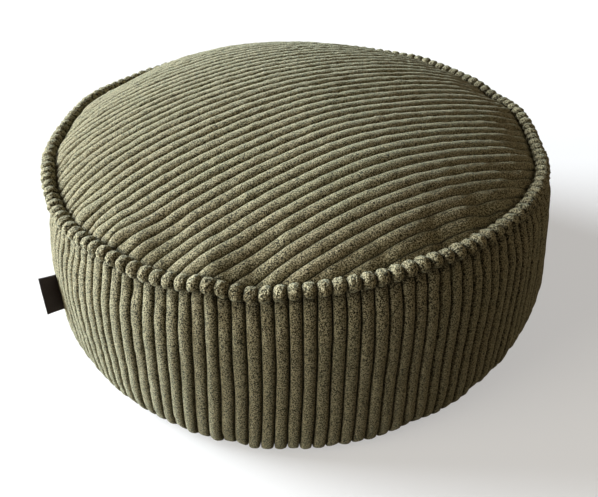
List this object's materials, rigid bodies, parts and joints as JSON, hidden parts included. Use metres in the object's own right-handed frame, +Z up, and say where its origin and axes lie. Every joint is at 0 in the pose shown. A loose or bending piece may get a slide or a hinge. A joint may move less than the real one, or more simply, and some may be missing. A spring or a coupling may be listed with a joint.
{
  "type": "round corduroy bean bag footstool",
  "caption": "Round filled footstool in wide-wale corduroy, with a domed top, piping round the top seam, an upright ribbed side band and a small side label.",
  "frame": {"origin": "on the stool's axis, on the surface it rests on", "axes": "+Z up through the dome, -Y toward the front, the label on the -X side"},
  "size_m": [0.6086, 0.6048, 0.2653],
  "materials": {
    "cord": "olive wide-wale corduroy, soft cut pile",
    "tape": "black woven tape, plain"
  },
  "bodies": {
    "root": {"top_panel": "cord", "side_band": "cord", "base_panel": "cord", "piping": "cord", "label": "tape"}
  },
  "joints": []
}
